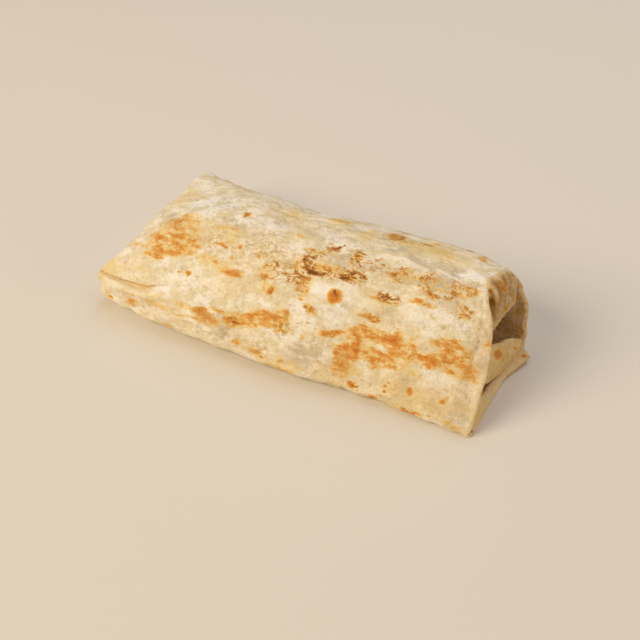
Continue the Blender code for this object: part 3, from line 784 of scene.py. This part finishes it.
# %% Filigree, and marks on the ends and folds
# Where a lace of thin veins browned.
FILIGREE = table("""
  50 -42 16 14 12, 55 -20 14 14 14, 90 2 15 17 8, 80 22 9 14 8, 70 44 9 9 5, 70 58 9 9 6
  80 70 8 8 6, 70 36 -14 16 4, 80 42 19 9 3, 50 -9 25 7 7, 80 2 44 7 6, 50 5 28 7 6
  50 -28 48 14 5 -6, 80 -8 58 9 4, 80 73 17 5 4, 30 -64 18 16 9 -12, 40 20 34 8 4
  60 -30 -36 14 6, 60 14 -40 12 6""")
fields["filigree"] = covered(x, down, FILIGREE)
# The shaded bottom of the groove under the last turn.
SEAM = table("""
  100 .7 -98 43.4 -90 45.2 -80 45.8 -68 45.4 -63 43.4, 70 .5 -63 43.4 -57 41.6 -50 40.2 -43 39""")
# Where moist dough only turned an even tan.
TAN = table("""
  46 -70 11 12 6, 30 -78 18 6 10, 60 -32 52 7 3, 50 -36 49.5 5 1.6, 36 -68 53.5 22 5
  34 20 53 16 8, 42 70 53 22 9, 36 24 46 5 3, 50 84 34 6 20, 26 46 26 10 4, 40 34 50 6 7
  30 -20 56 14 6, 36 30 -15 14 7, 20 -30 -8 30 8""")
fields["inner"] = np.maximum(strongest(x, down, SEAM), covered(x, down, TAN))

shut_y, shut_z = shut[..., 1], shut[..., 2]
SHUT_SPOTS = {
    "toast": """
      70 -30 12 9 5 20, 60 8 30 14 5 -5, 70 34 22 6 7, 50 -14 6 10 3, 40 20 8 8 4, 70 -42 20 3 4""",
    "mark": "90 -20 30 2 1.5, 80 27 30 1.5 2", "butter_and_warm_bounce": "50 -10 26 12 6, 50 30 10 9 4",
    "grey_shade_and_show_through": "50 -20 22 10 5, 60 16 18 10 5", "flour": "70 -4 14 20 4, 60 40 30 6 6",
    "filigree": "50 8 30 16 6, 50 -30 12 10 6"}
shut_fields = {name: covered(shut_y, shut_z, table(text)) for name, text in SHUT_SPOTS.items()}
shut_fields["char"] = charred(shut_y, shut_z, table("60 1.4 4 31 12 30, 60 1.4 -32 12 -27 14"))
# Painted shade: the steamed tan laid ever stronger into the sunk slit.
slit_shade = np.concatenate([np.zeros(19), np.linspace(0.2, 1, 7)])
shut_fields["inner"] = slit_shade[:, None] + 0 * shut_y

# On the tucked flap a place is given by degrees round the roll and stage of the way in.
open_turn, open_way = rim_degrees + 0 * way, way + 0 * rim_degrees
# The grey spots on the tuck are painted shade, and the white strip on the pocket's far wall is
# painted light.
END_SPOTS = {
    "mark": """
      85 104 2.5 5 .6, 85 84 1.9 4 .6, 85 85 3.4 2 1, 90 109 4.7 2.6 .4, 100 80 5.4 2.4 .6
      60 74 3.4 2 1.2, 50 94 4 1.6 1, 80 125 1.5 3 .6, 95 178 3.2 2.4 .22, 85 181 1.7 1.8 .3
      95 187 2.3 1.8 .3, 40 20 .8 6 .8, 40 116 3.4 2 1.4, 70 62 1.6 3 .5""",
    "butter_and_warm_bounce": "50 105 2 14 1.5, 40 185 1 20 2", "grey_shade_and_show_through": "80 104 3.6 6 1.2, 70 76 4.4 6 1.2",
    "flour": "50 45 1 12 1.5, 60 178 3.6 16 2", "filigree": "80 100 3 26 3"}
open_fields = {name: covered(open_turn, open_way, table(text), bend=0.0)
               for name, text in END_SPOTS.items()}
open_fields["char"], open_fields["toast"] = 0 * open_turn, 0.25 + 0 * open_turn
has_tuck = window(52, 66, 150, 166, open_turn)
# Steamed tan on the tucked flap and pocket walls, with painted shade deep in the pocket and in the
# pleats' grooves.
open_fields["inner"] = (np.maximum(0.55 * has_tuck * ramp(0.2, 2.0, open_way),
                                   0.75 * (1 - has_tuck) * ramp(1.5, 2.6, open_way))
                        + 0.45 * ramp(6.0, 7.0, open_way)
                        + 0.5 * np.clip(-pleat, 0, 2) * flap_here * on_flap)


def marks_near(points, stretch, spots):
    """Scorched spots on a loose fold, stretched along each axis, from rows of strength in
    percent, radius, x, y and z."""
    left = np.ones(points.shape[:2])
    for percent, radius, *at in spots:
        away = np.linalg.norm((points - at) / stretch, axis=-1)
        left *= 1 - percent / 100 * (1 - ramp(0.4, 1.35, away / radius))
    return 1 - left


# The lower fold's spots lean with it, so their height is read along a slant.
LEAN = np.array([[1, 0, 0], [0, 1, 0.7], [0, 0, 1]])
FOLD_SPOTS = table("100 2.1 88.6 -9.8 9.9, 90 .6 91.9 6.6 12.9")
fold_mark = marks_near(fold @ LEAN, (5, 3, 1.5), FOLD_SPOTS)
# The yellow laid over both loose folds is painted warm bounce light; their tan is the steamed
# dough.
fold_fields = {"mark": fold_mark, "filigree": 0.3, "butter_and_warm_bounce": 0.7, "toast": 0.26,
               "inner": (0.30 + 0.12 * noise(fold, 8, 41)) * (1 - 0.9 * fold_mark)}
corner_mark = marks_near(corner, (1, 1, 1), table("100 1.3 95.9 8.8 3.5, 50 2 92 -34 4"))
corner_fields = {"mark": corner_mark, "butter_and_warm_bounce": 0.6, "toast": 0.2,
                 "inner": 0.36 + 0.12 * noise(corner, 8, 42)}
print("fields on the ends:", sorted(open_fields))

# %% [markdown]
# ## The finish: dough, toast and char
# Up close a warmed tortilla is a matt cream sheet, slightly see-through where it is moist
# and white where dry flour still sits. The finish starts from that dough and lays the toast
# over it. Some of the grey is painted shade, some of the yellow painted warm bounce light, and
# some of the white painted highlight. Noise a few millimetres wide breaks each patch into
# islands and thin veins, as bubbles do on a griddle. A painted picture could do this, but
# noise stays sharp up close.

# %% Start the finish, and a helper for its grain
dough = bpy.data.materials.new("griddled_wheat_tortilla")
dough.use_nodes = True
tree = dough.node_tree
shader = tree.nodes["Principled BSDF"]
place = add(tree, "TexCoord").outputs["Object"]


def grain(size, stretch, detail, rough, shift, twist=0.0):
    """Noise from 0 to 1 with marks about size mm across, stretched along the roll."""
    where = add(tree, "Mapping", {"Vector": place},
                {"Scale": (1 / stretch, 1.0, 1.0), "Location": (shift, 0.3 * shift, 0.7 * shift)})
    settings = {"Scale": 1000 / size, "Detail": detail, "Roughness": rough, "Distortion": twist}
    return add(tree, "TexNoise", {"Vector": where.outputs[0]}, settings).outputs[0]


def stored(name):
    """A number stored on the mesh."""
    return add(tree, "Attribute", attribute_name=name).outputs["Fac"]


def sums(kind, first, second=0.0):
    """Two values combined by a Math operation; either may be a plain number."""
    node = add(tree, "Math", operation=kind)
    for socket, value in enumerate((first, second)):
        if isinstance(value, float):
            node.inputs[socket].default_value = value
        else:
            tree.links.new(value, node.inputs[socket])
    return node.outputs[0]


def times(first, second):
    """Two values multiplied."""
    return sums("MULTIPLY", first, second)


def plus(first, second):
    """Two values added."""
    return sums("ADD", first, second)


def fade(value, low, high, top=1.0):
    """0 below low, top above high, and a smooth step between."""
    limits = {"From Min": low, "From Max": high, "To Max": top}
    return add(tree, "MapRange", {0: value}, limits, interpolation_type="SMOOTHSTEP").outputs[0]


def over(under, tint, amount):
    """A colour laid over another by an amount: a mix node's colours are sockets 6 and 7."""
    return add(tree, "Mix", {0: amount, 6: under}, {7: linear(tint)}, data_type="RGBA").outputs[2]


# %% The plain dough: cream, with broad tints
middling, fine = grain(6.0, 1.5, 4.0, 0.66, 5.7), grain(2.0, 1.3, 3.5, 0.68, 8.9)
grit = grain(0.9, 1.3, 2.5, 0.6, 20.0)
broad = fade(grain(24, 1.4, 2.0, 0.5, 3.1), 0.38, 0.62)
ends = {6: linear("#fbf2de"), 7: linear("#f6e6c4")}
colour = add(tree, "Mix", {0: broad}, ends, data_type="RGBA").outputs[2]
# Golden mottles and grit, which make the whole sheet look grained.
colour = over(colour, "#e2cb92", fade(middling, 0.56, 0.42, 0.62))
colour = over(colour, "#d3b374", fade(fine, 0.52, 0.68, 0.62))
colour = over(colour, "#b9a886", fade(grain(3.2, 1.4, 4.0, 0.7, 15.0), 0.56, 0.72, 0.50))
colour = over(colour, "#fffaf0", fade(grit, 0.52, 0.72, 0.30))
# Yellow where fat soaked through, and round the toast; on the loose folds and low on the near side
# it is partly painted warm bounce light.
colour = over(colour, "#f0cf7c", times(stored("butter_and_warm_bounce"), fade(middling, 0.22, 0.54, 0.85)))
colour = over(colour, "#f0d28a", fade(stored("toast"), 0.02, 0.50, 0.60))
# Greyer: painted shade in the dents, along the open lip and on the ends, and filling showing
# through moist dough elsewhere.
colour = over(colour, "#bfb49f", times(stored("grey_shade_and_show_through"), fade(middling, 0.62, 0.42, 0.75)))
# White: dry flour, and painted highlight on the raised swells, the band under the crease and the
# pocket's far wall.
colour = over(colour, "#fff8ea", times(stored("flour"), fade(middling, 0.36, 0.58, 0.85)))
print("dough nodes:", len(tree.nodes))

# %% The golden to orange toast
speckle, islands = grain(2.1, 2.1, 4.0, 0.70, 1.3), grain(6.0, 2.2, 4.0, 0.66, 9.3)
# Veins run where this noise crosses its middle value.
veins = sums("ABSOLUTE", plus(grain(2.6, 1.5, 2.5, 0.55, 12.7, 0.8), -0.5))
thin, wide = fade(veins, 0.07, 0.0), fade(veins, 0.12, 0.02)
rough_fine, rough_broad = plus(speckle, -0.5), plus(islands, -0.5)
uneven = plus(times(rough_fine, 3.6), times(rough_broad, 2.6))
# The unevenness fades away where nothing is toasted, so clean dough stays clean.
uneven = times(uneven, fade(stored("toast"), 0.0, 0.45))
heat = plus(stored("toast"), plus(uneven, times(thin, -0.26)))
for tint, low, high, top in (("#efcc82", 0.10, 0.44, 0.80), ("#e6b25e", 0.34, 0.74, 0.90),
                             ("#df9539", 0.62, 1.02, 0.93), ("#cb7623", 1.05, 1.50, 0.85)):
    colour = over(colour, tint, fade(heat, low, high, top))

# %% Thin brown veins
VEIN_STRENGTH = 0.75
for tint, width, patchy in (("#cfa656", wide, fade(speckle, 0.40, 0.60)),
                            ("#ad7b30", thin, fade(islands, 0.44, 0.58))):
    seen = times(stored("filigree"), times(width, patchy))
    colour = over(colour, tint, times(seen, VEIN_STRENGTH))

# %% The small scorched marks, then the char
ragged = times(rough_fine, fade(stored("mark"), 0.0, 0.3, 1.1))
scorch = plus(stored("mark"), ragged)
broken_up = plus(plus(times(wide, 0.55), -0.20), times(rough_fine, 2.4))
burn = plus(stored("char"), times(broken_up, fade(stored("char"), 0.0, 0.25)))
for heat, tint, low, high, top in (
        (scorch, "#f0cb72", 0.12, 0.40, 0.9), (scorch, "#e29536", 0.38, 0.70, 0.95),
        (scorch, "#c26a1d", 0.78, 1.20, 0.9), (burn, "#d09538", 0.26, 0.60, 0.80),
        (burn, "#a8691c", 0.56, 0.90, 0.9), (burn, "#703d07", 0.92, 1.30, 0.92)):
    colour = over(colour, tint, fade(heat, low, high, top))

# %% The steamed tan with painted shade in grooves and the pocket, and the surface itself
# Tan of the steamed dough, also painted shade in the groove under the last turn, the shut slit, the
# pleats' grooves and deep in the pocket.
colour = over(colour, "#c89750", fade(stored("inner"), 0.05, 1.2, 0.85))
bumps = plus(times(fine, 0.7), times(grit, 0.45))
raised = add(tree, "Bump", {"Height": bumps}, {"Strength": 0.9, "Distance": 0.0012})
matt = plus(times(middling, 0.22), 0.50)
for name, output in ("Base Color", colour), ("Roughness", matt), ("Normal", raised.outputs[0]):
    tree.links.new(output, shader.inputs[name])
for name, value in (("Specular IOR Level", 0.35), ("Subsurface Weight", 0.12),
                    ("Subsurface Radius", (1.0, 0.55, 0.30)), ("Subsurface Scale", 0.0016)):
    shader.inputs[name].default_value = value
print("finish nodes:", len(tree.nodes))

# %% [markdown]
# ## Put the sheet together
# The rows of the shut end, the roll and the open end become one closed mesh, and the two
# loose folds become two more. Each is closed at both ends, so no open edge shows from any
# side. They ride on the burrito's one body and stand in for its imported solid.

# %% Make the meshes
def piece(name, loops, marks):
    """A closed mesh through rows of loops: quads between neighbours, a fan over each end, and
    each field stored as one number a point. The order is turned if its signed volume, the
    sum of z times the flat area under each quad, comes out negative."""
    rows, count = loops.shape[:2]
    tips = loops[[0, -1]].mean(axis=1)
    points = np.concatenate([loops.reshape(-1, 3), tips]) / 1000
    i = np.arange(count)
    j = (i + 1) % count
    start = (np.arange(rows - 1) * count)[:, None]
    quads = np.stack([start + i, start + count + i, start + count + j, start + j], axis=-1)
    quads = quads.reshape(-1, 4)
    last, first_tip = (rows - 1) * count, rows * count + 0 * i
    fans = np.concatenate([np.stack([first_tip, i, j], axis=-1),
                           np.stack([first_tip + 1, last + j, last + i], axis=-1)])
    a, b, c, d = (points[quads[:, k]] for k in range(4))
    flat = 0.5 * np.cross(c - a, d - b)[:, 2]
    if (flat * (a + b + c + d)[:, 2] / 4).sum() < 0:
        quads, fans = quads[:, ::-1], fans[:, ::-1]
    mesh = bpy.data.meshes.new(name)
    mesh.from_pydata(points.tolist(), [], quads.tolist() + fans.tolist())
    mesh.shade_smooth()
    for field, values in marks.items():
        values = values + np.zeros((rows, count))
        values = np.concatenate([values.ravel(), values[[0, -1]].mean(axis=1)])
        mesh.attributes.new(field, "FLOAT", "POINT").data.foreach_set("value", values)
    mesh.materials.append(dough)
    made = in_scene(name, mesh)
    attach(made, "root")
    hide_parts("burrito")
    print(name, "triangles:", 2 * len(quads) + len(fans))
    return made


whole_fields = {name: np.concatenate([shut_fields[name][::-1], values, open_fields[name]])
                for name, values in fields.items()}
piece("wrapped_sheet", np.concatenate([shut[::-1], body, opened]), whole_fields)
piece("lower_fold", fold, fold_fields)
piece("bottom_corner", corner, corner_fields)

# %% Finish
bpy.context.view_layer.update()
